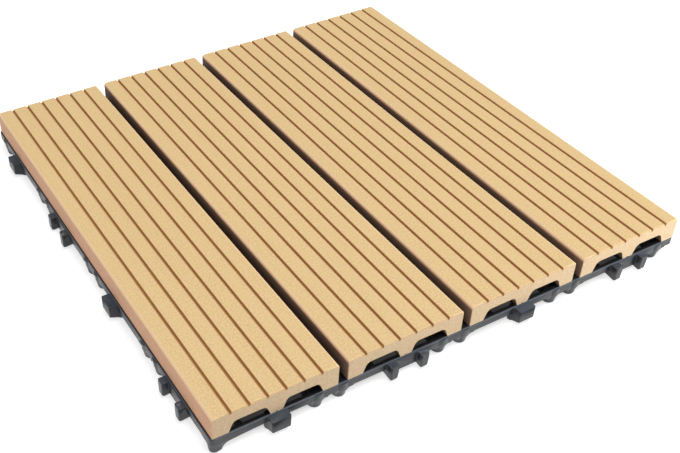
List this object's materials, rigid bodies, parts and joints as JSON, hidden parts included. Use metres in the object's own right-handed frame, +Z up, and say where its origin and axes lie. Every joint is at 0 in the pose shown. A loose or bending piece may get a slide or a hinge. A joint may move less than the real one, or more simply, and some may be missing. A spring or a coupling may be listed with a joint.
{
  "type": "interlocking deck tile",
  "caption": "Square interlocking outdoor deck tile: grooved wood-composite slats screwed to a dark moulded plastic grid with feet, tabs and paired posts on its sides.",
  "frame": {"origin": "centre of the tile on the ground, under its feet", "axes": "+Z up through the walking surface, +Y along the slats, +X across the slats"},
  "size_m": [0.3066, 0.3066, 0.0244],
  "materials": {
    "composite_wood": "matt brushed wood-plastic composite",
    "base_plastic": "satin injection-moulded polypropylene",
    "screw_steel": "bright zinc-plated steel"
  },
  "bodies": {
    "root": {"slat_1": "composite_wood", "slat_2": "composite_wood", "slat_3": "composite_wood", "slat_4": "composite_wood", "base_grid": "base_plastic", "fixing_screws": "screw_steel"}
  },
  "joints": []
}
